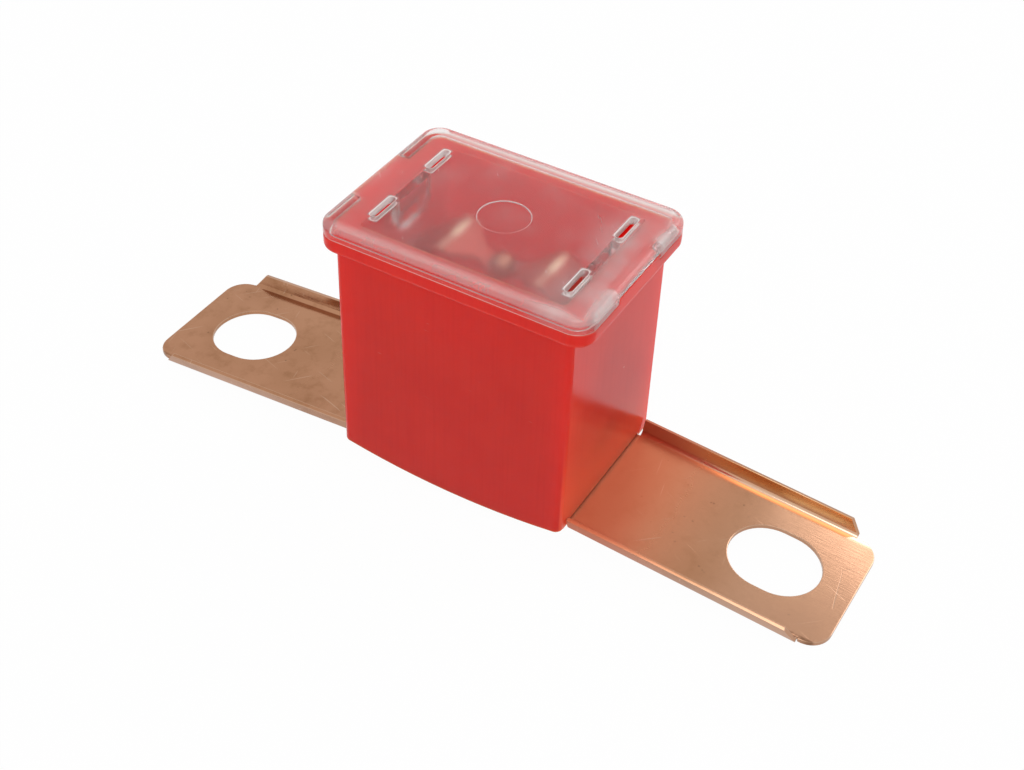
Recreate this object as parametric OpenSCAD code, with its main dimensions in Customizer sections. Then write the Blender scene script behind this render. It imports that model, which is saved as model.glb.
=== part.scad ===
// Bolt-in automotive cartridge fuse.
// A red moulded housing, a clear clip-on cover, and one stamped copper strip that is both
// bolt terminals and the fusible bridge between them. A tin drop sits on the bridge's neck.
// X runs along the terminals, Z is up. The origin is midway between the two bolt slots,
// in the plane that the terminal tips rest on.

/* [Terminals] */
// Distance between the centres of the two bolt slots
bolt_spacing = 40; // [37:0.5:44]
// Width of each bolt slot, for an M5 bolt
slot_w = 5.2; // [5.2:0.1:5.8]
// End-to-end length of each bolt slot
slot_l = 6; // [5.9:0.1:6.8]
// Distance from a slot's outer end to the terminal's tip
tip_margin = 2.2; // [1.8:0.05:3]
// Width of the tip, past the ends of the lips
tip_w = 9.6; // [9.3:0.1:10]
// Radius of the tip's two corners
tip_r = 1.5; // [0.8:0.1:1.6]
// Width of the flat between the two upturned lips
flat_w = 9.3; // [8.8:0.1:9.5]
// Thickness of the copper sheet
sheet_t = 0.3; // [0.25:0.05:0.4]
// Inside radius of every fold in the sheet
fold_r = 0.3; // [0.2:0.05:0.4]
// Height of a lip's straight part, measured along the lip
lip_h = 0.75; // [0.5:0.05:1.2]
// Lean of a lip outwards from upright, in degrees
lip_lean = 19; // [5:1:40]
// Distance from the tip to the lip's end, at the lip's foot
lip_setback = 1.65; // [1.5:0.05:3]
// How far each terminal slopes below level, in degrees
droop = 4.2; // [1:0.1:6]

/* [Housing] */
// Length of the housing's box
body_l = 16.1; // [15:0.1:17.5]
// Width of the housing's box
body_w = 12; // [11.5:0.1:12.8]
// Thickness of the housing's walls
wall = 1.1; // [0.9:0.05:1.2]
// Height from the strip's underside to the rim's top face
rim_top_h = 16.5; // [15.5:0.1:19]
// Radius of the box's upright edges
body_r = 0.45; // [0.3:0.05:0.8]
// How far the rim stands out past the two end walls
rim_out_x = 1.05; // [0.9:0.05:1.3]
// How far the rim stands out past the two long walls
rim_out_y = 0.45; // [0.35:0.01:0.7]
// Height of the rim
rim_h = 1.0; // [0.8:0.1:1.4]
// Radius of the rim's upright corners
rim_r = 1.3; // [1:0.1:1.8]
// Bulge of the long walls' curved lower edge
edge_bulge = 0.68; // [0.4:0.02:0.9]
// How far the long walls' ends stand above the strip's underside
edge_rise = 0.3; // [0.1:0.05:0.6]
// Radius of the end walls' lower outer edge
foot_r = 0.3; // [0.1:0.05:0.4]

/* [Cover] */
// Height of the cover above the rim
cover_h = 0.95; // [0.9:0.05:1.5]
// Thickness of the cover's top plate
plate_t = 0.55; // [0.45:0.05:0.6]
// Thickness of the cover's skirt
skirt_t = 0.65; // [0.5:0.05:0.75]
// Radius of the cover's top edges
cover_edge_r = 0.4; // [0.2:0.05:0.45]
// Width of the housing tab in the middle of each end of the cover
tab_w = 5; // [4:0.1:6]
// Width of each latch arm
arm_w = 3.5; // [3:0.1:4]
// Thickness of each latch arm
arm_t = 0.6; // [0.5:0.05:0.7]
// How far a latch arm hangs below the top plate
arm_h = 2.3; // [2:0.1:2.6]
// Length of the slots beside each latch arm
arm_slot_l = 2.3; // [1.5:0.1:2.5]
// Width of those slots
arm_slot_w = 0.5; // [0.4:0.05:0.6]
// Diameter of the round mould mark on the cover
mark_d = 3.2; // [2:0.1:4]

/* [Fuse bridge] */
// Distance of each hump's crest from the middle
hump_x = 3.35; // [3:0.05:3.6]
// Height of the risers' full width above the strip's underside
shoulder_h = 6.9; // [6:0.1:8]
// Depth of each hump's crest below the cover's top face
hump_depth = 2.65; // [2.5:0.05:3.5]
// Radius of each crest, in the middle of the sheet
crest_r = 0.9; // [0.6:0.05:1.2]
// Fall of the sheet from each crest to its riser, in degrees
crest_fall = 38; // [30:1:45]
// Radius between that slope and the riser, in the middle of the sheet
shoulder_r = 0.8; // [0.5:0.05:1.2]
// Depth of the valley below the two crests
valley_d = 1.2; // [0.9:0.05:1.5]
// Radius of the valley, in the middle of the sheet
valley_r = 1.6; // [1:0.1:2]
// Width of the strip over the humps
bridge_w = 3.8; // [3:0.1:5]
// Width of the neck in the valley
neck_w = 1.3; // [0.9:0.1:1.8]
// Length of the neck between its two ramps
neck_l = 3; // [2.4:0.1:3.4]
// Diameter of the round pad in the middle of the neck
pad_d = 2.2; // [1.8:0.1:2.6]
// Radius of the tin drop
drop_r = 0.85; // [0.5:0.05:0.9]

/* [Hidden] */
$fn = 64;

// Play between parts that slide past each other at assembly
play = 0.1;
// Overlap that joins solids of one piece, and overshoot of cuts
over = 0.5;

// Terminals
tip_x = (bolt_spacing + slot_l) / 2 + tip_margin;
pivot_x = body_l / 2 + play / 5;
strip_z = (tip_x - pivot_x) * tan(droop);
strip_top = strip_z + sheet_t;
fold_out = fold_r + sheet_t;

// Heights of the housing and the cover
rim_top = strip_z + rim_top_h;
cover_top = rim_top + cover_h;
plate_under = cover_top - plate_t;
edge_low = strip_z + edge_rise - edge_bulge;

// Plan sizes
cavity_l = body_l - 2 * wall;
cavity_w = body_w - 2 * wall;
rim_l = body_l + 2 * rim_out_x;
rim_w = body_w + 2 * rim_out_y;
recess_l = rim_l - 2 * skirt_t;
recess_w = rim_w - 2 * skirt_t;
curb_h = cover_h - plate_t - play / 2;
edge_r = (pow(body_l / 2, 2) + pow(edge_bulge, 2)) / (2 * edge_bulge);

// Risers of the strip, just inside the end walls
riser_out = cavity_l / 2 - play;
riser_in = riser_out - sheet_t;
riser_mid = riser_out - sheet_t / 2;
riser_gap = 0.5;
riser_w = cavity_w - 2 * riser_gap;
shoulder_z = strip_z + shoulder_h;

// Wave of the bridge: valley, crest and shoulder arcs, joined by straight slopes
crest_mid = cover_top - hump_depth - sheet_t / 2;
crest_z = crest_mid - crest_r;
valley_z = crest_mid - valley_d + valley_r;
bend_r = crest_r + valley_r;
valley_fall = asin(bend_r / norm([hump_x, bend_r - valley_d])) - atan2(bend_r - valley_d, hump_x);
shoulder_x = riser_mid - shoulder_r;
slope_l = shoulder_x - hump_x + (shoulder_r - crest_r) * sin(crest_fall);
bend_z = crest_z + (crest_r - shoulder_r) * cos(crest_fall) - slope_l * tan(crest_fall);

// Latch arms of the cover, and the tongues that lock the strip
arm_out = cavity_l / 2 - play;
arm_mid = arm_out - arm_t / 2;
barb = 0.3;
barb_z = plate_under - arm_h + 0.9;
tongue_z = strip_z + 4.6;
tongue_w = 2.4;
tongue_h = 1.2;
tongue_out = 0.35;

// Guide ribs that keep the risers against the end walls
rib_w = 0.8;
rib_d = 0.9;
rib_z = strip_top + 1;
rib_h = shoulder_z - rib_z - 0.5;

// A rectangle with rounded corners, centred on the origin
module rounded_rect(l, w, r) {
  square([l - 2 * r, w], center = true);
  square([l, w - 2 * r], center = true);
  for (sx = [-1, 1], sy = [-1, 1])
    translate([sx * (l / 2 - r), sy * (w / 2 - r)])
      circle(r);
}

// A slab with rounded upright corners and a rounded edge round its top face
module soft_slab(l, w, h, r, top_r) {
  hull()
    for (sx = [-1, 1], sy = [-1, 1])
      translate([sx * (l / 2 - r), sy * (w / 2 - r), 0])
        rotate_extrude($fn = 48) {
          square([r, h - top_r]);
          square([r - top_r, h]);
          translate([r - top_r, h - top_r])
            intersection() {
              circle(top_r, $fn = 32);
              square(top_r);
            }
        }
}

// An outline in the XZ plane, given thickness along Y and centred on it
module across(w) {
  rotate([90, 0, 0])
    linear_extrude(w, center = true)
      children();
}

// An outline in the YZ plane, given thickness along X from x0
module along(x0, l) {
  translate([x0, 0, 0])
    rotate([90, 0, 90])
      linear_extrude(l)
        children();
}

// The same thing at both ends of the fuse
module both_ends() {
  children();
  mirror([1, 0, 0])
    children();
}

// Points along an arc in the XZ plane, with the given number of steps
function arc(x, z, r, from, to, steps) = [
  for (i = [0:steps])
    let (a = from + (to - from) * i / steps)
      [x + r * cos(a), z + r * sin(a)]
];

// The same points at the other end of the fuse, in the opposite order
function other_end(points) = [
  for (i = [len(points) - 1:-1:0])
    [-points[i].x, points[i].y]
];

// The points of a list without its first one
function rest(points) = [for (i = [1:len(points) - 1]) points[i]];

// Housing

// The curved lower edge of the long walls, as everything above it
module above_edge() {
  translate([0, 0, edge_low + edge_r])
    rotate([90, 0, 0])
      cylinder(h = body_w + 4 * over, r = edge_r, center = true, $fn = 180);
}

// Walls of the box, with the curved lower edge
module box_walls() {
  intersection() {
    translate([0, 0, edge_low - over])
      linear_extrude(rim_top - edge_low + over)
        rounded_rect(body_l, body_w, body_r);
    above_edge();
  }
}

// The rim that the cover stands on, rounded along its lower edge
module rim() {
  translate([0, 0, rim_top])
    mirror([0, 0, 1])
      soft_slab(rim_l, rim_w, rim_h, rim_r, 0.35);
}

// The low curb inside the cover's skirt, and the two tabs in the skirt's gaps
module curb_and_tabs() {
  curb_l = recess_l - 2 * play;
  curb_w = recess_w - 2 * play;
  translate([0, 0, rim_top - over])
    linear_extrude(curb_h + over)
      rounded_rect(curb_l, curb_w, rim_r - skirt_t);
  both_ends()
    translate([curb_l / 2 - over, -tab_w / 2, rim_top - over])
      cube([(rim_l - curb_l) / 2 + over, tab_w, curb_h + over]);
}

// Ribs inside the long walls that hold the edges of the risers
module guide_ribs() {
  for (sx = [-1, 1], sy = [-1, 1])
    translate([sx * (riser_in - play - rib_w / 2), sy * (cavity_w - rib_d) / 2, rib_z])
      translate([-rib_w / 2, -rib_d / 2 - (sy < 0 ? over : 0), 0])
        cube([rib_w, rib_d + over, rib_h]);
}

// The opening under an end wall, where the strip comes in, eased for the fold
module strip_gate() {
  gate_w = flat_w + 2 * play;
  translate([cavity_l / 2 - over, -gate_w / 2, edge_low - over])
    cube([wall + 2 * over, gate_w, strip_top - edge_low + over]);
  across(gate_w)
    polygon([
      [cavity_l / 2 - over, strip_top - over],
      [cavity_l / 2 + fold_r + play, strip_top - over],
      [cavity_l / 2 + fold_r + play, strip_top],
      [cavity_l / 2, strip_top + fold_r + play],
      [cavity_l / 2 - over, strip_top + fold_r + play]
    ]);
}

// What an end wall's lower outer edge loses to its rounding, over the strip's flat
module wall_foot() {
  across(flat_w)
    difference() {
      translate([body_l / 2 - foot_r, strip_top - over])
        square(foot_r + over);
      translate([body_l / 2 - foot_r, strip_top + foot_r])
        circle(foot_r);
    }
}

// Pockets in an end wall for the strip's tongue and the cover's barb
module wall_pockets() {
  depth = 0.5;
  translate([cavity_l / 2 - over, -(tongue_w / 2 + play), tongue_z - tongue_h - play])
    cube([depth + over, tongue_w + 2 * play, tongue_h + 2 * play]);
  translate([cavity_l / 2 - over, -(arm_w / 2 + play), barb_z - 1])
    cube([depth + over, arm_w + 2 * play, 1]);
}

module housing() {
  color([0.80, 0.16, 0.14])
    union() {
      difference() {
        union() {
          box_walls();
          rim();
          curb_and_tabs();
        }
        translate([0, 0, edge_low - over])
          linear_extrude(cover_top - edge_low + over)
            rounded_rect(cavity_l, cavity_w, 0.3);
        both_ends() {
          strip_gate();
          wall_foot();
          wall_pockets();
        }
      }
      guide_ribs();
    }
}

// Cover

// A latch arm with its barb, hanging inside an end wall
module latch_arm() {
  tip = 0.8;
  low = plate_under - arm_h;
  along(arm_out - arm_t, arm_t) {
    translate([-arm_w / 2, low + tip])
      square([arm_w, arm_h - tip + plate_t / 2]);
    translate([-arm_w / 2 + tip, low])
      square([arm_w - 2 * tip, tip + plate_t / 2]);
    for (s = [-1, 1])
      translate([s * (arm_w / 2 - tip), low + tip])
        circle(tip);
  }
  across(arm_w - 2 * tip)
    polygon([
      [arm_mid, barb_z - play],
      [arm_out + barb, barb_z - play],
      [arm_out, barb_z - 0.8],
      [arm_mid, barb_z - 0.8]
    ]);
}

// The two slots through the plate, one on each side of a latch arm
module arm_slots() {
  for (s = [-1, 1])
    translate([arm_mid, s * (arm_w + arm_slot_l + 2 * play) / 2, plate_under - over])
      linear_extrude(plate_t + 2 * over)
        rounded_rect(arm_slot_w, arm_slot_l, arm_slot_w / 2 - 0.01);
}

// The gap in the skirt that takes a housing tab
module tab_gap() {
  translate([recess_l / 2 - over, -tab_w / 2 - play / 2, rim_top - over])
    cube([skirt_t + 2 * over, tab_w + play, curb_h + play / 2 + over]);
}

module cover() {
  color([0.93, 0.95, 0.95, 0.45]) {
    difference() {
      translate([0, 0, rim_top])
        soft_slab(rim_l, rim_w, cover_h, rim_r, cover_edge_r);
      translate([0, 0, rim_top - over])
        linear_extrude(cover_h - plate_t + over)
          rounded_rect(recess_l, recess_w, rim_r - skirt_t);
      both_ends() {
        arm_slots();
        tab_gap();
      }
      translate([0, 0, cover_top - 0.06])
        cylinder(h = over, d = mark_d);
    }
    both_ends()
      latch_arm();
  }
}

// Fuse strip

// One face of the strip, seen from the side, from the middle of the valley to a tip.
// The offset from the sheet's middle is positive for the upper and outer face.
function valley_face(offset) = arc(0, valley_z, valley_r - offset, 270, 270 + valley_fall, 8);
function crest_face(offset) =
  arc(hump_x, crest_z, crest_r + offset, 90 + valley_fall, 90 - crest_fall, 14);
function shoulder_face(offset) =
  arc(shoulder_x, bend_z, shoulder_r + offset, 90 - crest_fall, 0, 10);
function fold_face(offset) =
  arc(riser_out + fold_r, strip_z + fold_out, fold_r + sheet_t / 2 - offset, 180, 270, 8);
function leg_face(offset) = offset > 0
  ? [[pivot_x + sheet_t * tan(droop / 2), strip_top], [tip_x, sheet_t / cos(droop)]]
  : [[pivot_x, strip_z], [tip_x, 0]];
function strip_face(offset) = concat(
  valley_face(offset),
  crest_face(offset),
  shoulder_face(offset),
  fold_face(offset),
  leg_face(offset)
);

// Side view of the whole strip, from tip to tip
module strip_profile() {
  upper = strip_face(sheet_t / 2);
  lower = strip_face(-sheet_t / 2);
  polygon(concat(
    other_end(rest(upper)),
    upper,
    [for (i = [len(lower) - 1:-1:1]) lower[i]],
    [for (p = lower) [-p.x, p.y]]
  ));
}

// Plan of one terminal, from its riser to its rounded tip just past the ends of the lips
module leg_plan() {
  tip_l = lip_setback - play / 2;
  difference() {
    union() {
      translate([riser_mid, -flat_w / 2])
        square([tip_x - tip_l + play - riser_mid, flat_w]);
      intersection() {
        translate([tip_x - tip_w / 2, 0])
          rounded_rect(tip_w, tip_w, tip_r);
        translate([tip_x - tip_l, -tip_w])
          square([tip_l, 2 * tip_w]);
      }
    }
    slot_plan();
  }
}

// Plan of a bolt slot
module slot_plan() {
  half = (slot_l - slot_w) / 2;
  translate([bolt_spacing / 2, 0]) {
    square([2 * half, slot_w], center = true);
    for (s = [-1, 1])
      translate([s * half, 0])
        circle(d = slot_w);
  }
}

// Section of a lip and its fold, off the edge of a terminal whose underside is at zero height
module lip_section() {
  turn = 90 - lip_lean;
  reach = lip_h * [cos(turn), sin(turn)];
  outer = arc(flat_w / 2, fold_out, fold_out, 270, 270 + turn, 12);
  inner = arc(flat_w / 2, fold_out, fold_r, 270 + turn, 270, 12);
  polygon(concat(
    outer,
    [outer[len(outer) - 1] + reach, inner[0] + reach],
    inner
  ));
}

// A lip along one edge of a terminal, square to the end wall and with its tip end cut at a slant
module lip() {
  foot_u = (tip_x - lip_setback - pivot_x) / cos(droop);
  slant = 0.9;
  top = fold_out + lip_h;
  intersection() {
    translate([pivot_x + play, 0, 0])
      cube([tip_x, body_w, cover_top]);
    translate([pivot_x, 0, strip_z])
      rotate([0, droop, 0])
        intersection() {
          along(-over, foot_u + over)
            lip_section();
          across(2 * body_w)
            polygon([
              [-over, -over],
              [foot_u, -over],
              [foot_u, sheet_t],
              [foot_u - slant, top],
              [-over, top]
            ]);
        }
  }
}

// Elevation of the strip inside the housing: wide risers that taper to the bridge
module riser_elevation() {
  taper = (riser_w - bridge_w) / 2;
  polygon([
    [-riser_w / 2, strip_z - over],
    [riser_w / 2, strip_z - over],
    [riser_w / 2, shoulder_z],
    [bridge_w / 2, shoulder_z + taper],
    [bridge_w / 2, cover_top],
    [-bridge_w / 2, cover_top],
    [-bridge_w / 2, shoulder_z + taper],
    [-riser_w / 2, shoulder_z]
  ]);
}

// Plan of the strip inside the housing: the bridge narrows to a neck with a round pad
module bridge_plan() {
  far = cavity_l / 2;
  side = riser_w / 2 + over;
  neck_x = neck_l / 2;
  ramp = (bridge_w - neck_w) / 2;
  for (s = [-1, 1])
    polygon([
      [-s * neck_w / 2, -neck_w / 2],
      [s * neck_x, -neck_w / 2],
      [s * (neck_x + ramp), -bridge_w / 2],
      [s * (neck_x + ramp), -side],
      [s * far, -side],
      [s * far, side],
      [s * (neck_x + ramp), side],
      [s * (neck_x + ramp), bridge_w / 2],
      [s * neck_x, neck_w / 2],
      [-s * neck_w / 2, neck_w / 2]
    ]);
  circle(d = pad_d);
}

// Everything within the strip's outline: the terminals in plan, and the bridge in plan and elevation
module strip_outline() {
  both_ends()
    translate([0, 0, -over])
      linear_extrude(strip_top + fold_r + over)
        leg_plan();
  intersection() {
    along(-body_l / 2, body_l)
      riser_elevation();
    translate([0, 0, strip_z - over])
      linear_extrude(cover_top - strip_z)
        bridge_plan();
  }
}

// A tongue on a riser that catches in the end wall's pocket
module tongue() {
  across(tongue_w)
    polygon([
      [riser_mid, tongue_z - tongue_h],
      [riser_out + tongue_out, tongue_z - tongue_h],
      [riser_out, tongue_z],
      [riser_mid, tongue_z]
    ]);
}

module fuse_strip() {
  color([0.72, 0.45, 0.30]) {
    intersection() {
      across(max(flat_w, riser_w) + over)
        strip_profile();
      strip_outline();
    }
    both_ends() {
      lip();
      mirror([0, 1, 0])
        lip();
      tongue();
    }
  }
}

// Tin drop, standing on the concave top of the neck's pad
module tin_drop() {
  seat = concat(valley_face(sheet_t / 2), [crest_face(sheet_t / 2)[0]]);
  side = seat[len(seat) - 1].x;
  color([0.78, 0.77, 0.75])
    intersection() {
      translate([0, 0, seat[0].y])
        sphere(drop_r);
      across(4 * drop_r)
        polygon(concat(
          other_end(rest(seat)),
          seat,
          [[side, cover_top], [-side, cover_top]]
        ));
    }
}

housing();
cover();
fuse_strip();
tin_drop();
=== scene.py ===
"""Looks of a bolt-in automotive cartridge fuse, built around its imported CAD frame.

The four pieces are the red moulded housing, the clear clip-on cover, the stamped copper strip
and the tin drop on the strip's neck. Each operator makes one piece with its finish, and the last
one sets the floor, the lamps and the camera. All lengths are in metres, in the CAD frame: X runs
along the terminals and Z is up.
"""

import math

import bmesh
import bpy
from bpy.props import FloatProperty, FloatVectorProperty, IntProperty, PointerProperty
from bpy.types import Operator, Panel, PropertyGroup
from mathutils import Matrix, Vector
from mathutils.geometry import intersect_point_line


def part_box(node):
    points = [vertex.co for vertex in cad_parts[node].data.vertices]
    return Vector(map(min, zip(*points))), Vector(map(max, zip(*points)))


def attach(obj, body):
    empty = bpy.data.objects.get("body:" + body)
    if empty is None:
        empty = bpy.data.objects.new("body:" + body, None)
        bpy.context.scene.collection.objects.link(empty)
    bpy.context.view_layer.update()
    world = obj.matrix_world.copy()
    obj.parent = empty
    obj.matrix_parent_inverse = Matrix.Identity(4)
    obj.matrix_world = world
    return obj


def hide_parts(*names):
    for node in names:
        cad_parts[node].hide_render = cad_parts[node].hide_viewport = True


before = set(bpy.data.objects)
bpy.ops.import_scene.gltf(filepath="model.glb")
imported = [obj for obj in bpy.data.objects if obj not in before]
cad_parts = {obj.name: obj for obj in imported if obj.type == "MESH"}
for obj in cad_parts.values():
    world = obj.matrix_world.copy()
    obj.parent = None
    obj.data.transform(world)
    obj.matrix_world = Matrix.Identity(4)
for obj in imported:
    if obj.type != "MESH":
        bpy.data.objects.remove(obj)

bl_info = {
    "name": "Cartridge fuse looks",
    "version": (1, 0, 0),
    "blender": (4, 5, 0),
    "location": "View3D > Sidebar > Fuse",
    "description": "Gives the CAD frame of a bolt-in cartridge fuse its finishes",
    "category": "Object",
}

MM = 0.001
EDGE_MASK = "edge_wear"

# Limits for rounding a piece's edges
WELD = 0.002 * MM
FLAT_ANGLE = math.radians(0.4)
FOLD_ANGLE = math.radians(125)
TINY_AREA = 1e-13
CLEARANCE = 3.0
ROUNDING_TRIES = 12

# Places that the finishes refer to, in millimetres. A pair is where a change starts and ends.
SLOT_X, SLOT_Y = 6.55, 3.0  # middles of the slots beside the cover's latch arms
TAB_X, TAB_Y = (8.0, 8.4), (2.5, 2.9)  # the housing's tab in the middle of each end
FRONT_SKIRT = (-6.3, -6.1)  # the front of the cover's skirt
COVER_PLATE = (0.25, 0.45)  # depth of the cover's flat top
END_WALL = (7.88, 8.0)  # from the housing's rounded corner to its right end wall
WALL_GLOW = (0.5, 9.5)  # height over which the painted reflection and glow of the copper on that wall fade
FOLD_Y = 4.65  # start of the lips' folds
INSIDE = (2.5, 6.0)  # height from which the strip is inside the housing
PAINTED_GLINT_Y = 0.6  # middle of the painted glints on the bridge's crests

# Floor and lamps, in metres
FLOOR_SIZE = 4.0
LAMP_AIM = (0.02, 0.0, 0.0)
TOP_LAMP_PLACE, TOP_LAMP_SIZE = (0.05, -0.05, 0.30), (0.15, 0.18)
BACK_LAMP_PLACE, BACK_LAMP_SIZE = (0.117, 0.332, 0.283), (0.266, 0.14)

# The picture that the camera stands for, and the lens that fits it
IMAGE_WIDTH = 1024
FOCAL_PIXELS = 1619.3
SENSOR_WIDTH = 36.0


# Sizes and colours that a user would change


class FuseShape(PropertyGroup):
    """Edge radii of the pieces."""

    housing_edge: FloatProperty(
        name="Housing edges", description="Radius on the housing's moulded edges",
        default=0.07 * MM, min=0.0, unit="LENGTH", precision=5)
    cover_edge: FloatProperty(
        name="Cover edges", description="Radius on the cover's slots, skirt and arms",
        default=0.06 * MM, min=0.0, unit="LENGTH", precision=5)
    strip_edge: FloatProperty(
        name="Strip edges", description="Radius on the stamped edges of the copper strip",
        default=0.05 * MM, min=0.0, unit="LENGTH", precision=5)
    drop_edge: FloatProperty(
        name="Tin edges", description="Radius where the tin drop meets the strip",
        default=0.03 * MM, min=0.0, unit="LENGTH", precision=5)
    edge_steps: IntProperty(
        name="Edge steps", description="Faces across each rounded edge",
        default=2, min=1, max=6)
    sharp_angle: FloatProperty(
        name="Sharp angle", description="Edges that turn more than this are rounded",
        default=math.radians(30), subtype="ANGLE")


def colour(name, description, rgb):
    """A colour property with its default."""
    return FloatVectorProperty(
        name=name, description=description, default=rgb, size=3, min=0.0, max=1.0, subtype="COLOR")


class FuseFinish(PropertyGroup):
    """Colours and gloss of the four materials."""

    red: colour("Red", "The housing's moulded plastic", (0.90, 0.036, 0.026))
    red_deep: colour("Deep red", "Where the plastic flowed thicker", (0.83, 0.029, 0.022))
    red_worn: colour("Worn red", "Rubbed edges and scuffs of the housing", (0.80, 0.10, 0.075))
    # Painted reflection: the copper's orange light on the right end wall, painted into its colour.
    red_copper_reflection: colour("Glowing red", "Red of the right end wall near the copper", (1.0, 0.10, 0.045))
    # Painted glow: emitted light that stands in for the copper's light on that wall.
    red_painted_glow: colour("Copper shine", "Light from the copper on that wall", (0.12, 0.012, 0.006))
    red_gloss: FloatProperty(
        name="Red roughness", description="Roughness of the housing's plastic",
        default=0.13, min=0.0, max=1.0, subtype="FACTOR")
    red_depth: FloatProperty(
        name="Red depth", description="How far light spreads inside the housing's plastic",
        default=6.0 * MM, min=0.0, unit="LENGTH", precision=5)
    clear: colour("Clear", "The cover's clear plastic", (0.96, 0.955, 0.945))
    # Milky white: partly real haze, partly painted reflection of light inside the cover's edges.
    clear_milk_sheen: colour("Milky", "Where the cover's plastic turns milky", (0.90, 0.84, 0.82))
    clear_gloss: FloatProperty(
        name="Clear roughness", description="Roughness of the cover",
        default=0.20, min=0.0, max=1.0, subtype="FACTOR")
    copper: colour("Copper", "Clean face of the copper strip", (0.44, 0.22, 0.125))
    copper_dull: colour("Dull copper", "Tarnished patches of the strip", (0.33, 0.155, 0.078))
    # Bright copper: real rubbed edges and scratches, and a painted highlight on the right tip.
    copper_wear_and_highlight: colour("Bright copper", "Rubbed edges and scratches", (0.56, 0.36, 0.25))
    # Painted shade: dark colour for the creases of the front lips' folds.
    copper_fold_shade: colour("Grime", "Dirt in the fold of the front lips", (0.16, 0.07, 0.035))
    # Painted highlight: pale colour along the fold of the right rear lip.
    copper_fold_highlight: colour("Polished copper", "Fold of the right rear lip", (0.88, 0.62, 0.45))
    # Painted reflection: the copper flat seen in the inner face of the right rear lip.
    copper_lip_reflection: colour("Golden copper", "Inner face of the right rear lip", (0.85, 0.42, 0.14))
    # Painted highlight: glints on the crests of the bridge.
    copper_painted_glint: colour("Glint", "Burnished spots on the crests of the bridge", (1.0, 0.80, 0.60))
    # Painted reflection: the red end wall mirrored in the copper beside it.
    copper_wall_reflection: colour("Warm copper", "Copper beside the right end wall", (0.55, 0.137, 0.066))
    # Painted shade and reflection: the bridge inside the housing takes the red of the walls around
    # it.
    copper_shade_red_reflection: colour("Bridge copper", "Dull red copper of the bridge", (0.56, 0.052, 0.040))
    copper_gloss: FloatProperty(
        name="Copper roughness", description="Roughness of the copper strip",
        default=0.06, min=0.0, max=1.0, subtype="FACTOR")
    # Painted reflection: both tin colours carry the red of the housing around the drop.
    tin: colour("Tin", "The tin drop", (0.50, 0.22, 0.15))
    tin_dull: colour("Dull tin", "Dull patches of the tin drop", (0.42, 0.13, 0.09))


class FuseStage(PropertyGroup):
    """Camera, floor and lamps."""

    azimuth: FloatProperty(
        name="Azimuth", description="Camera's angle round the fuse, from the front",
        default=math.radians(29.266), subtype="ANGLE")
    elevation: FloatProperty(
        name="Elevation", description="Camera's angle above the floor",
        default=math.radians(41.456), subtype="ANGLE")
    roll: FloatProperty(
        name="Roll", description="Camera's turn about its own axis",
        default=math.radians(2.263), subtype="ANGLE")
    distance: FloatProperty(
        name="Distance", description="Camera's distance from its target",
        default=103.2 * MM, unit="LENGTH")
    target: FloatVectorProperty(
        name="Target", description="Point that the camera looks at",
        default=(0.968 * MM, 0.0, 5.96 * MM), size=3, subtype="TRANSLATION", unit="LENGTH")
    floor: colour("Floor", "Pale studio floor", (0.86, 0.86, 0.86))
    floor_glow: FloatProperty(
        name="Floor white", description="How far the floor that the camera sees turns to white",
        default=0.98, min=0.0, max=1.0, subtype="FACTOR")
    sky_light: FloatProperty(
        name="Sky light", description="Strength of the soft light from all round",
        default=0.62, min=0.0)
    top_light: FloatProperty(
        name="Top light", description="Power of the large lamp overhead, in watts",
        default=0.17, min=0.0)
    back_light: FloatProperty(
        name="Back light", description="Power of the lamp behind on the right, in watts",
        default=0.31, min=0.0)


# Shader maths


class Value:
    """A number in a material, so that shader sums are written as sums."""

    def __init__(self, finish, socket):
        self.finish = finish
        self.socket = socket

    def maths(self, operation, *terms):
        sockets = dict(enumerate(terms))
        return self.finish.node("ShaderNodeMath", {"operation": operation}, sockets)

    def __add__(self, other):
        return self.maths("ADD", self, other)

    def __sub__(self, other):
        return self.maths("SUBTRACT", self, other)

    def __rsub__(self, other):
        return self.maths("SUBTRACT", other, self)

    def __mul__(self, other):
        return self.maths("MULTIPLY", self, other)

    def __abs__(self):
        return self.maths("ABSOLUTE", self)

    __radd__ = __add__
    __rmul__ = __mul__

    def least(self, other):
        """The smaller of two numbers."""
        return self.maths("MINIMUM", self, other)

    def step(self, low, high):
        """From 0 at low to 1 at high, smoothly."""
        sockets = {"Value": self, "From Min": low, "From Max": high}
        return self.finish.node("ShaderNodeMapRange", {"interpolation_type": "SMOOTHSTEP"}, sockets)


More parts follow.
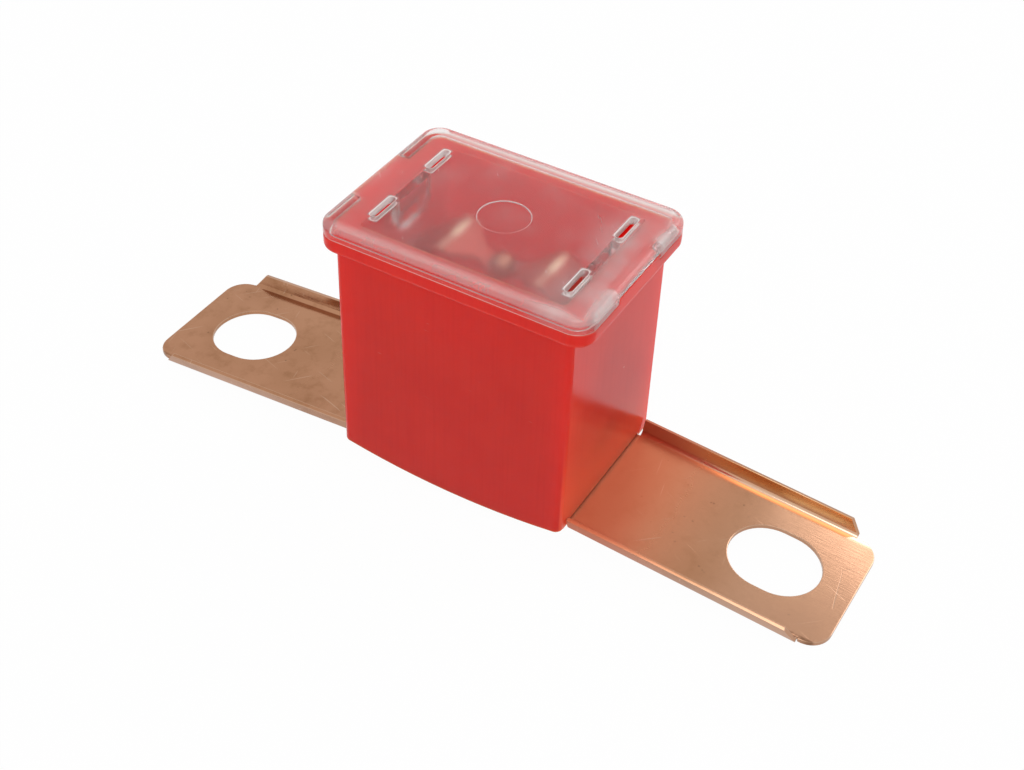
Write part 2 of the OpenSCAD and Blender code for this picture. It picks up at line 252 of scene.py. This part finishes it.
class Finish:
    """A material under construction: its nodes, and the noises that its maps are made of."""

    def __init__(self, name):
        self.material = bpy.data.materials.new(name)
        self.material.use_nodes = True
        self.tree = self.material.node_tree
        self.shader = self.tree.nodes["Principled BSDF"]

    def node(self, kind, settings=None, sockets=None, out=0):
        """Adds a node, sets its settings, then the values or links of its sockets."""
        made = self.tree.nodes.new(kind)
        for key, setting in (settings or {}).items():
            setattr(made, key, setting)
        for key, value in (sockets or {}).items():
            self.feed(made.inputs[key], value)
        return Value(self, made.outputs[out])

    def feed(self, socket, value):
        """Links a Value into a socket, or sets a plain number, colour or vector on it."""
        if isinstance(value, Value):
            self.tree.links.new(value.socket, socket)
        elif socket.type == "RGBA":
            socket.default_value = (*value[:3], 1.0)
        else:
            socket.default_value = value

    def set(self, **sockets):
        """Values or links of the shader's own sockets, with _ for a space in their names."""
        for key, value in sockets.items():
            self.feed(self.shader.inputs[key.replace("_", " ")], value)
        return self.material

    def place(self):
        """The point on the object in millimetres."""
        point = self.node("ShaderNodeTexCoord", out="Object")
        sockets = {0: point, "Scale": 1 / MM}
        return self.node("ShaderNodeVectorMath", {"operation": "SCALE"}, sockets)

    def axes(self, vector):
        """The three numbers of a vector."""
        return [self.node("ShaderNodeSeparateXYZ", None, {0: vector}, out=axis) for axis in "XYZ"]

    def stretch(self, vector, x, y, z):
        """A vector with each axis multiplied by its own number."""
        sockets = {0: vector, 1: (x, y, z)}
        return self.node("ShaderNodeVectorMath", {"operation": "MULTIPLY"}, sockets)

    def turn(self, vector, angle):
        """A vector turned about Z."""
        sockets = {"Vector": vector, "Angle": angle}
        return self.node("ShaderNodeVectorRotate", {"rotation_type": "Z_AXIS"}, sockets)

    def noise(self, vector, scale, detail=2.0, rough=0.5):
        """Soft noise from 0 to 1, with scale in waves per millimetre."""
        sockets = {"Vector": vector, "Scale": scale, "Detail": detail, "Roughness": rough}
        return self.node("ShaderNodeTexNoise", None, sockets)

    def cells(self, vector, scale):
        """Distance to the nearest of many scattered points."""
        return self.node("ShaderNodeTexVoronoi", None, {"Vector": vector, "Scale": scale})

    def blend(self, factor, first, second):
        """The first colour where the factor is 0, and the second where it is 1."""
        sockets = {0: factor, 6: first, 7: second}
        return self.node("ShaderNodeMix", {"data_type": "RGBA"}, sockets, out=2)

    def edge(self):
        """1 on the rounded edges of the mesh, and 0 on its faces."""
        return self.node("ShaderNodeAttribute", {"attribute_name": EDGE_MASK}, out="Fac")

    def mix_in(self, factor, other):
        """Lets another shader take over where the factor is 1."""
        own = Value(self, self.shader.outputs[0])
        mixed = self.node("ShaderNodeMixShader", None, {0: factor, 1: own, 2: other})
        self.feed(self.tree.nodes["Material Output"].inputs["Surface"], mixed)
        return self.material

    def bump(self, height, depth, strength=1.0):
        """A normal for a height map, whose full range is depth metres."""
        sockets = {"Strength": strength, "Distance": depth, "Height": height}
        return self.node("ShaderNodeBump", None, sockets)


def red_plastic(finish):
    """Semi-gloss red nylon with flow clouds, fine draw lines on its walls and light scuffs, and a
    painted reflection and glow of the copper on its right end wall.
    """
    made = Finish("red_moulded_nylon")
    at = made.place()
    x, y, z = made.axes(at)
    cloud = made.noise(at, 0.22, 3.0).step(0.35, 0.7)
    draw = made.noise(made.stretch(at, 5.0, 5.0, 0.12), 1.0, 3.0, 0.6)
    grain = made.noise(at, 14.0, 2.0)
    scuff_field = made.noise(made.stretch(made.turn(at, 0.5), 1.6, 1.6, 9.0), 0.55, 2.0)
    scuff = scuff_field.step(0.70, 0.80) * made.noise(at, 0.5, 1.0).step(0.5, 0.62)
    worn = made.edge() * made.noise(at, 1.3, 2.0).step(0.35, 0.6)
    body = made.blend(cloud * 0.6 + draw.step(0.4, 0.75) * 0.35, finish.red, finish.red_deep)
    body = made.blend(scuff * 0.35, body, finish.red_worn)
    body = made.blend(worn * 0.5, body, finish.red_worn)
    # Painted reflection and glow: the right end wall turns orange and glows near its foot, where
    # the copper's light would fall.
    painted_copper_bounce = x.step(*END_WALL) * (1 - (z + y * 0.3).step(*WALL_GLOW))
    body = made.blend(painted_copper_bounce * 0.75, body, finish.red_copper_reflection)
    rough = finish.red_gloss + draw * 0.10 + scuff * 0.12 + grain * 0.05 - cloud * 0.04
    height = grain * 0.45 + draw * 0.55
    return made.set(
        Base_Color=body, Roughness=rough, Normal=made.bump(height, 0.008 * MM, 0.6),
        Emission_Color=made.blend(painted_copper_bounce, (0.0, 0.0, 0.0), finish.red_painted_glow), Emission_Strength=1.0,
        Specular_IOR_Level=0.13, IOR=1.5, Subsurface_Weight=1.0,
        Subsurface_Radius=(1.0, 0.2, 0.1), Subsurface_Scale=finish.red_depth)


def clear_plastic(finish):
    """Clear polycarbonate with handling marks, mixed with milky white along its edges, slots and
    arms: partly real haze, partly painted reflection of light inside the plastic.
    """
    made = Finish("clear_polycarbonate")
    at = made.place()
    x, y, z = made.axes(at)
    far = [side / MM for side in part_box("cover")[1]]
    from_end, from_side, from_top = far[0] - abs(x), far[1] - abs(y), far[2] - z
    haze = made.noise(at, 0.45, 3.0)
    ripple = made.noise(at, 1.1, 2.0)
    rub = made.noise(made.stretch(made.turn(at, 0.9), 0.5, 14.0, 1.0), 1.0, 2.0).step(0.66, 0.74)
    plate = 1 - from_top.step(*COVER_PLATE)
    # Milky bands on the fillets, back band, slots and rounded edges: partly real haze, partly
    # painted reflection of light inside the plastic.
    fillet = (1 - from_end.least(from_side).step(0.35, 1.0)) * plate
    slot = (1 - abs(abs(x) - SLOT_X).step(0.25, 0.4)) * (1 - abs(abs(y) - SLOT_Y).step(1.1, 1.3))
    milky_end = x.step(4.5, 8.0) * haze.step(0.2, 0.7)
    back = y.step(0.0, 1.0) * from_side.step(0.45, 0.65) * (1 - from_side.step(0.95, 1.35))
    back = back * plate * from_end.step(0.5, 0.9)
    # Painted highlight along the lower edge of the front skirt.
    front_edge = made.edge() * (1 - y.step(*FRONT_SKIRT)) * from_top.step(0.3, 0.5)
    milk_and_sheen = fillet * (0.27 - y.step(3.0, 5.0) * 0.12) + back * 0.4 + slot * 0.45 + milky_end * 0.2
    tab = abs(x).step(*TAB_X) * (1 - abs(y).step(*TAB_Y))
    milk_and_sheen = (milk_and_sheen + made.edge() * 0.45 + front_edge * 0.4) * (1 - tab * 0.75)
    milk_and_sheen = milk_and_sheen + haze.step(0.45, 0.8) * 0.05 + rub * 0.012
    shade = tuple(0.96 * c for c in finish.clear)
    tint = made.blend(haze.step(0.4, 0.8) * 0.5, finish.clear, shade)
    rough = finish.clear_gloss + haze * 0.07 + rub * 0.03
    made.set(
        Base_Color=tint, Roughness=rough, Normal=made.bump(ripple, 0.01 * MM, 0.5),
        Transmission_Weight=1.0, IOR=1.25, Coat_Weight=0.45, Coat_IOR=1.5, Coat_Roughness=0.06)
    milky_sheen = made.node(
        "ShaderNodeBsdfPrincipled", None, {"Base Color": finish.clear_milk_sheen, "Roughness": 0.4})
    return made.mix_in(milk_and_sheen, milky_sheen)


def bare_copper(finish):
    """Bare rolled copper: rolling lines along the strip, brown mottling, specks and scratches, with
    painted highlights, glints, reflections and painted shade in the front folds.
    """
    made = Finish("bare_rolled_copper")
    at = made.place()
    x, y, z = made.axes(at)
    patch = made.noise(at, 0.16, 3.0).step(0.38, 0.68)
    mottle = made.noise(at, 0.9, 4.0, 0.65)
    rolled = made.noise(made.stretch(at, 0.25, 9.0, 9.0), 1.0, 3.0, 0.6)
    speck = 1 - made.cells(at, 1.5).step(0.05, 0.13)
    speck = speck * made.noise(at, 0.6, 1.0).step(0.5, 0.6)
    scratch = 0.0
    for angle, fine in ((0.35, 7.0), (-0.8, 8.0), (1.35, 6.0)):
        drawn = made.stretch(made.turn(at, angle), 0.22, fine, 1.0)
        scratch = made.noise(drawn, 1.0, 1.0).step(0.735, 0.775) + scratch
    aged = 1 - x.step(-12.0, 4.0)
    tarnish = patch * 0.45 + mottle.step(0.45, 0.75) * (0.35 + aged * 0.25)
    face = made.blend(tarnish, finish.copper, finish.copper_dull)
    face = made.blend(speck * 0.6, face, tuple(0.45 * c for c in finish.copper_dull))
    face = made.blend(scratch * 0.5, face, finish.copper_wear_and_highlight)
    face = made.blend(made.edge() * 0.6, face, finish.copper_wear_and_highlight)
    # Painted highlight, partly cleaner copper: the right terminal lightens toward its tip.
    face = made.blend(x.step(15.5, 20.0) * 0.3, face, finish.copper_wear_and_highlight)
    # Painted shade: mottled darkening in the crease of the front lips' folds.
    fold_shade = (1 - abs(y + FOLD_Y).step(0.04, 0.2)) * mottle.step(0.38, 0.6) * abs(x).step(8.2, 8.6)
    face = made.blend(fold_shade * 0.7, face, finish.copper_fold_shade)
    # Painted highlight: pale band along the right rear lip's fold.
    fold_highlight = (1 - abs(y - FOLD_Y).step(0.05, 0.4)) * x.step(9.0, 16.0)
    face = made.blend(fold_highlight * 0.75, face, finish.copper_fold_highlight)
    facing = made.axes(made.node("ShaderNodeTexCoord", out="Normal"))
    inner_face = 1 - facing[1].step(-0.3, 0.1)
    # Painted reflection: the inner face of the right rear lip takes a golden copper colour.
    lip_reflection = y.step(FOLD_Y + 0.2, FOLD_Y + 0.4) * x.step(9.0, 14.0) * inner_face
    face = made.blend(lip_reflection * 0.7, face, finish.copper_lip_reflection)
    # Painted reflection: the copper beside the right end wall turns red.
    wall_reflection = x.step(7.9, 8.3) * (1 - x.step(8.5, 17.0))
    face = made.blend(wall_reflection * 0.8, face, finish.copper_wall_reflection)
    inside = z.step(*INSIDE)
    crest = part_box("fuse_strip")[1][2] / MM - z
    # Painted shade and red reflection on the strip inside the housing.
    face = made.blend(inside * 0.9, face, finish.copper_shade_red_reflection)
    # Painted highlight: a bright spot with a fading tail on each crest of the bridge.
    painted_glint = (1 - crest.step(0.01, 0.06)) * (1 - abs(y - PAINTED_GLINT_Y).step(0.2, 1.4) * 0.75)
    face = made.blend(painted_glint, face, finish.copper_painted_glint)
    dulled = 1 - abs(x).step(9.0, 17.0)
    rough = finish.copper_gloss + patch * 0.05 + mottle * 0.06 + rolled * 0.04 - scratch * 0.04
    rough = rough + dulled * 0.3
    height = rolled * 0.5 + mottle * 0.3 - scratch * 0.4
    return made.set(
        # Less metal inside the housing, so the painted red reflection shows as diffuse red.
        Base_Color=face, Roughness=rough, Metallic=1 - inside * (1 - painted_glint) * 0.5,
        Normal=made.bump(height, 0.006 * MM, 0.5))


def soft_tin(finish):
    """Soft tin with dull patches and a finely dimpled skin, coloured with a painted red reflection
    of the housing around it.
    """
    made = Finish("soft_tin")
    at = made.place()
    patch = made.noise(at, 1.4, 3.0).step(0.4, 0.65)
    dimple = made.cells(at, 5.0)
    face = made.blend(patch, finish.tin, finish.tin_dull)
    return made.set(
        Base_Color=face, Roughness=0.28 + patch * 0.18, Metallic=1.0,
        Normal=made.bump(dimple, 0.02 * MM, 0.4))


# Pieces


def welded_copy(node):
    """A CAD piece's mesh with its triangles joined into flat faces."""
    work = bmesh.new()
    work.from_mesh(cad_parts[node].data)
    bmesh.ops.remove_doubles(work, verts=work.verts, dist=WELD)
    bmesh.ops.dissolve_limit(work, angle_limit=FLAT_ANGLE, verts=work.verts, edges=work.edges)
    return work


def folded_places(work):
    """Where faces of a rounded mesh fold over themselves or over their neighbours."""
    places = [e.verts[0].co.copy() for e in work.edges if e.calc_face_angle(0.0) > FOLD_ANGLE]
    for corners in work.calc_loop_triangles():
        a, b, c = (loop.vert.co for loop in corners)
        turn = (b - a).cross(c - a)
        if turn.length > TINY_AREA and turn.dot(corners[0].face.normal) < 0.0:
            places.append(a.copy())
    return places


def near(edge, places, reach):
    """Whether an edge passes within reach of any of the places."""
    first, last = (v.co for v in edge.verts)
    for place in places:
        on_line, along = intersect_point_line(place, first, last)
        closest = first if along < 0.0 else last if along > 1.0 else on_line
        if (closest - place).length < reach:
            return True
    return False


def rounded_copy(node, name, radius, shape):
    """A copy of a CAD piece with its outer edges rounded wherever there is room for it."""
    crowded, work = [], None
    for _ in range(ROUNDING_TRIES):
        if work is not None:
            work.free()
        work = welded_copy(node)
        edges = [
            e for e in work.edges
            if e.is_convex and e.calc_face_angle(0.0) > shape.sharp_angle
            and not near(e, crowded, CLEARANCE * radius)]
        rounded = bmesh.ops.bevel(
            work, geom=edges, offset=radius, offset_type="OFFSET", segments=shape.edge_steps,
            profile=0.5, affect="EDGES", clamp_overlap=False, loop_slide=False)["faces"]
        folded = folded_places(work)
        if not folded:
            break
        crowded += folded
    mask = work.loops.layers.float.new(EDGE_MASK)
    for face in work.faces:
        face.smooth = True
    for face in rounded:
        for loop in face.loops:
            loop[mask] = 1.0
    for edge in work.edges:
        edge.smooth = edge.calc_face_angle(0.0) < shape.sharp_angle
    mesh = bpy.data.meshes.new(name)
    work.to_mesh(mesh)
    work.free()
    piece = bpy.data.objects.new(name, mesh)
    bpy.context.scene.collection.objects.link(piece)
    even = piece.modifiers.new("even_shading", "WEIGHTED_NORMAL")
    even.keep_sharp = True
    return piece


def settle(piece, node, material):
    """Puts a finished piece in the place of its CAD node."""
    piece.data.materials.clear()
    piece.data.materials.append(material)
    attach(piece, "root")
    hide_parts(node)


class FUSE_OT_housing(Operator):
    """Makes the red moulded housing"""

    bl_idname = "fuse.housing"
    bl_label = "Mould housing"

    def execute(self, context):
        shape, finish = context.scene.fuse_shape, context.scene.fuse_finish
        piece = rounded_copy("housing", "moulded_housing", shape.housing_edge, shape)
        settle(piece, "housing", red_plastic(finish))
        return {"FINISHED"}


class FUSE_OT_cover(Operator):
    """Makes the clear clip-on cover"""

    bl_idname = "fuse.cover"
    bl_label = "Mould cover"

    def execute(self, context):
        shape, finish = context.scene.fuse_shape, context.scene.fuse_finish
        piece = rounded_copy("cover", "clear_cover", shape.cover_edge, shape)
        settle(piece, "cover", clear_plastic(finish))
        return {"FINISHED"}


class FUSE_OT_strip(Operator):
    """Makes the stamped copper strip"""

    bl_idname = "fuse.strip"
    bl_label = "Stamp strip"

    def execute(self, context):
        shape, finish = context.scene.fuse_shape, context.scene.fuse_finish
        piece = rounded_copy("fuse_strip", "copper_strip", shape.strip_edge, shape)
        settle(piece, "fuse_strip", bare_copper(finish))
        return {"FINISHED"}


class FUSE_OT_tin_drop(Operator):
    """Makes the tin drop on the strip's neck"""

    bl_idname = "fuse.tin_drop"
    bl_label = "Cast tin drop"

    def execute(self, context):
        shape, finish = context.scene.fuse_shape, context.scene.fuse_finish
        piece = rounded_copy("tin_drop", "melted_tin_drop", shape.drop_edge, shape)
        settle(piece, "tin_drop", soft_tin(finish))
        return {"FINISHED"}


# Stage


def seen_directly(builder):
    """1 for rays that the camera, a reflection or clear plastic sends out, and 0 for soft light."""
    total = 0.0
    for ray in ("Is Camera Ray", "Is Glossy Ray", "Is Transmission Ray"):
        total = builder.node("ShaderNodeLightPath", out=ray) + total
    return builder.node("ShaderNodeClamp", None, {"Value": total})


def pale_floor(stage):
    """A pale matt floor that turns white where it is seen, and keeps a soft shadow."""
    made = Finish("pale_floor")
    mottle = made.noise(made.place(), 0.02, 2.0)
    face = made.blend(mottle * 0.1, stage.floor, (0.80, 0.80, 0.80))
    made.set(Base_Color=face, Roughness=0.9, Specular_IOR_Level=0.1)
    white = made.node("ShaderNodeEmission", None, {"Color": (1.0, 1.0, 1.0), "Strength": 1.0})
    return made.mix_in(seen_directly(made) * stage.floor_glow, white)


class FuseSky(Finish):
    """The world's nodes, made in the same way as a material's."""

    def __init__(self, name):
        self.material = bpy.data.worlds.new(name)
        self.material.use_nodes = True
        self.tree = self.material.node_tree
        self.shader = self.tree.nodes["Background"]


def studio_sky(stage):
    """White all round where it is seen, and softer where it only gives light."""
    made = FuseSky("studio_sky")
    lit = seen_directly(made) * (1.0 - stage.sky_light) + stage.sky_light
    return made.set(Color=(1.0, 1.0, 1.0), Strength=lit)


def area_lamp(name, place, size, power):
    """A soft rectangular lamp at a place, turned to the fuse."""
    lamp = bpy.data.lights.new(name, "AREA")
    lamp.shape = "RECTANGLE"
    lamp.size, lamp.size_y = size
    lamp.energy = power
    holder = bpy.data.objects.new(name, lamp)
    holder.location = place
    holder.rotation_euler = (Vector(LAMP_AIM) - Vector(place)).to_track_quat("-Z", "Y").to_euler()
    bpy.context.scene.collection.objects.link(holder)


def aim_camera(stage):
    """The camera at the photograph's viewing angle."""
    flat = math.cos(stage.elevation)
    back = Vector((
        math.sin(stage.azimuth) * flat, -math.cos(stage.azimuth) * flat, math.sin(stage.elevation)))
    right = Vector((0.0, 0.0, 1.0)).cross(back).normalized()
    up = back.cross(right)
    turned = Matrix.Rotation(stage.roll, 3, back)
    place = Matrix((turned @ right, turned @ up, back)).transposed().to_4x4()
    place.translation = Vector(stage.target) + back * stage.distance
    camera = bpy.data.cameras.new("photo_camera")
    camera.sensor_fit = "HORIZONTAL"
    camera.sensor_width = SENSOR_WIDTH
    camera.lens = FOCAL_PIXELS / IMAGE_WIDTH * SENSOR_WIDTH
    camera.clip_start = MM
    holder = bpy.data.objects.new("photo_camera", camera)
    holder.matrix_world = place
    bpy.context.scene.collection.objects.link(holder)
    return holder


class FUSE_OT_stage(Operator):
    """Sets the floor, the lamps, the sky and the camera"""

    bl_idname = "fuse.stage"
    bl_label = "Set stage"

    def execute(self, context):
        scene = context.scene
        stage = scene.fuse_stage
        bpy.ops.mesh.primitive_plane_add(size=FLOOR_SIZE, location=(0.0, 0.0, 0.0))
        floor = context.object
        floor.name = "studio_floor"
        floor.data.materials.append(pale_floor(stage))
        scene.world = studio_sky(stage)
        area_lamp("top_lamp", TOP_LAMP_PLACE, TOP_LAMP_SIZE, stage.top_light)
        area_lamp("back_lamp", BACK_LAMP_PLACE, BACK_LAMP_SIZE, stage.back_light)
        scene.camera = aim_camera(stage)
        scene.view_settings.view_transform = "Standard"
        return {"FINISHED"}


class FUSE_PT_panel(Panel):
    """Lists the fuse's pieces, finishes and stage in the sidebar"""

    bl_label = "Cartridge fuse"
    bl_idname = "FUSE_PT_panel"
    bl_space_type = "VIEW_3D"
    bl_region_type = "UI"
    bl_category = "Fuse"

    def draw(self, context):
        layout = self.layout
        for name in GROUPS:
            group, box = getattr(context.scene, name), layout.box()
            for setting in group.__annotations__:
                box.prop(group, setting)
        for operator in OPERATORS:
            layout.operator(operator.bl_idname)


GROUPS = {"fuse_shape": FuseShape, "fuse_finish": FuseFinish, "fuse_stage": FuseStage}
OPERATORS = (FUSE_OT_housing, FUSE_OT_cover, FUSE_OT_strip, FUSE_OT_tin_drop, FUSE_OT_stage)
CLASSES = (*GROUPS.values(), *OPERATORS, FUSE_PT_panel)


def register():
    for made in CLASSES:
        bpy.utils.register_class(made)
    for name, group in GROUPS.items():
        setattr(bpy.types.Scene, name, PointerProperty(type=group))


def unregister():
    for name in GROUPS:
        delattr(bpy.types.Scene, name)
    for made in reversed(CLASSES):
        bpy.utils.unregister_class(made)


def corners(box):
    """A box's two corners as plain lists of numbers."""
    return [list(corner) for corner in box]


def main():
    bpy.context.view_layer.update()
    register()
    bpy.ops.fuse.housing()
    bpy.ops.fuse.cover()
    bpy.ops.fuse.strip()
    bpy.ops.fuse.tin_drop()
    bpy.ops.fuse.stage()


if __name__ == "__main__":
    main()
